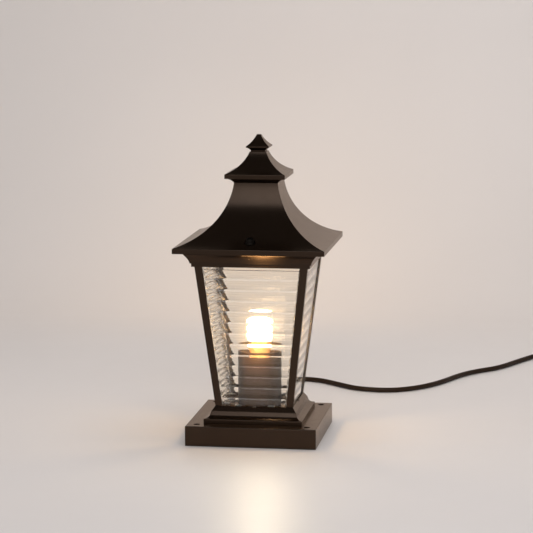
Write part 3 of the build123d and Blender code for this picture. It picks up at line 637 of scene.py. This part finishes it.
def area_light(name, place, target, width, height, power, colour):
    data = bpy.data.lights.new(name, "AREA")
    data.shape = "RECTANGLE"
    data.size = width
    data.size_y = height
    data.energy = power
    data.color = colour
    lamp = bpy.data.objects.new(name, data)
    bpy.context.scene.collection.objects.link(lamp)
    lamp.location = place
    lamp.rotation_euler = (Vector(target) - Vector(place)).to_track_quat("-Z", "Y").to_euler()
    return lamp


def hide_lamp(lamp):
    """Keeps a lamp's own face out of sight, also in mirrors and through glass."""
    lamp.visible_camera = False
    lamp.visible_glossy = False
    lamp.visible_transmission = False


def make_studio_light():
    area_light(
        "front_softbox", place=(0.35, -2.60, 1.75), target=(0.0, 0.0, 0.20),
        width=2.0, height=1.7, power=29.0, colour=(0.89, 0.97, 1.09),
    )
    top = area_light(
        "top_softbox", place=(0.3, 0.0, 2.4), target=(0.0, -0.1, 0.0),
        width=2.6, height=2.2, power=48.0, colour=(1.0, 0.97, 0.96),
    )
    top.visible_glossy = False


def make_stray_light():
    """Small warm lamps that stand for the bulb's stray light on the wall, the cornice and the sleeve."""
    wall = area_light(
        "wall_glow", place=(-0.16, 0.95, 0.36), target=(-0.18, 1.22, 0.08),
        width=0.3, height=0.3, power=0.42, colour=(1.0, 0.64, 0.28),
    )
    hide_lamp(wall)
    for width, power in eave_glow_strips:
        strip = area_light(
            "eave_glow", eave_glow_place, eave_glow_target, width, eave_glow_height, power, eave_glow_colour
        )
        strip.visible_camera = False
    sleeve = area_light(
        "sleeve_glow", place=(0.0, -0.052, 0.128), target=(0.0, -0.029, 0.105),
        width=0.050, height=0.008, power=0.12, colour=(1.0, 0.58, 0.22),
    )
    hide_lamp(sleeve)


def make_bulb_light():
    data = bpy.data.lights.new("bulb_light", "POINT")
    data.energy = bulb_light_power
    data.color = bulb_light_colour
    data.shadow_soft_size = bulb_globe_radius + bulb_light_gap
    lamp = bpy.data.objects.new("bulb_light", data)
    lamp.location = (0.0, 0.0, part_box("bulb_glass")[1].z - bulb_globe_radius)
    lamp.visible_glossy = False
    lamp.visible_transmission = False
    bpy.context.scene.collection.objects.link(lamp)


# Finishes of the solid pieces
def dress(material, *names):
    for name in names:
        data = nodes[name].data
        data.materials.clear()
        data.materials.append(material)


def set_gloss(material, socket, value):
    material.node_tree.nodes["Principled BSDF"].inputs[socket].default_value = value


def dress_castings():
    coat = finish(
        "bronze_coat", low=(0.040, 0.025, 0.016), high=(0.043, 0.027, 0.018), rough=(0.22, 0.25),
        grain=0.0006, relief=0.000002, metallic=0.88, edge=0.0007,
    )
    set_gloss(coat, "Specular Tint", (1.0, 0.88, 0.78, 1.0))
    dress(
        coat, "base_flange", "plinth", "lower_frame", "cornice", "roof", "upper_roof", "finial",
        "corner_post_front_right", "corner_post_back_right",
        "corner_post_back_left", "corner_post_front_left",
    )
    sleeve_coat = finish(
        "sleeve_coat", low=(0.030, 0.018, 0.010), high=(0.033, 0.020, 0.011), rough=(0.40, 0.45),
        grain=0.0006, relief=0.000005,
    )
    set_gloss(sleeve_coat, "Specular IOR Level", 0.2)
    dress(sleeve_coat, "lamp_sleeve")


def dress_metal():
    thumb_metal = finish(
        "thumb_metal", low=(0.019, 0.016, 0.013), high=(0.022, 0.018, 0.015), rough=(0.40, 0.50),
        grain=0.0005, relief=0.00002, metallic=1.0,
    )
    dress(thumb_metal, "thumb_screw_front", "thumb_screw_back")
    bulb_metal = finish(
        "bulb_metal", low=(0.62, 0.61, 0.59), high=(0.70, 0.69, 0.67), rough=(0.25, 0.4),
        grain=0.001, relief=0.00002, metallic=1.0,
    )
    dress(bulb_metal, "bulb_cap")
    brass = finish(
        "contact_brass", low=(0.62, 0.46, 0.20), high=(0.70, 0.53, 0.26), rough=(0.28, 0.42),
        grain=0.001, relief=0.00002, metallic=1.0,
    )
    dress(brass, "bulb_contact", "socket_contact", "socket_shell", "terminal_screws")
    steel = finish(
        "screw_steel", low=(0.50, 0.50, 0.49), high=(0.60, 0.60, 0.59), rough=(0.28, 0.42),
        grain=0.001, relief=0.00002, metallic=1.0,
    )
    dress(
        steel, "plinth_screws", "frame_screws", "holder_screws", "glass_clips", "glass_clip_screws",
        "terminal_fixing_screw", "earth_screw", "roof_washer", "roof_nut", "roof_tie_rod", "plug_pins",
    )


def dress_insulators(rubber):
    porcelain = finish(
        "porcelain", low=(0.80, 0.79, 0.75), high=(0.85, 0.84, 0.80), rough=(0.12, 0.2),
        grain=0.003, relief=0.00003,
    )
    dress(porcelain, "lamp_holder")
    terminal_plastic = finish(
        "terminal_plastic", low=(0.74, 0.74, 0.70), high=(0.80, 0.80, 0.77), rough=(0.4, 0.5),
        grain=0.001, relief=0.00002,
    )
    dress(terminal_plastic, "terminal_block")
    plug_plastic = finish(
        "plug_plastic", low=(0.018, 0.017, 0.016), high=(0.024, 0.022, 0.021), rough=(0.4, 0.5),
        grain=0.0006, relief=0.00003,
    )
    dress(plug_plastic, "plug_body", "coil_tie")
    dress(wire_plastic("lamp_lead_plastic", lamp_lead_borders, (brown_wire, blue_wire)), "lamp_leads")
    dress(wire_plastic("core_plastic", core_borders, (earth_wire, brown_wire, blue_wire)), "supply_cores")
    dress(wire_plastic("earth_plastic", (), (earth_wire,)), "earth_lead")
    dress(rubber, "inner_lead", "cable_gland")


def cord_rubber():
    rubber = finish(
        "cord_rubber", low=(0.022, 0.011, 0.005), high=(0.027, 0.014, 0.007), rough=(0.45, 0.58),
        grain=0.0008, relief=0.00003,
    )
    set_gloss(rubber, "Specular IOR Level", 0.15)
    return rubber


make_camera()
rubber_sheath = cord_rubber()
dress_castings()
dress_metal()
dress_insulators(rubber_sheath)
make_cord(rubber_sheath)
near_glass = pane_glass("pane_glass", near_pane_mirror)
far_glass = pane_glass("far_pane_glass", far_pane_mirror)
make_pane("glass_front", near_glass)
make_pane("glass_right", near_glass)
make_pane("glass_back", far_glass)
make_pane("glass_left", far_glass)
make_bulb()
make_stage()
make_world()
make_studio_light()
make_stray_light()
make_bulb_light()
bpy.context.scene.view_settings.view_transform = "Standard"
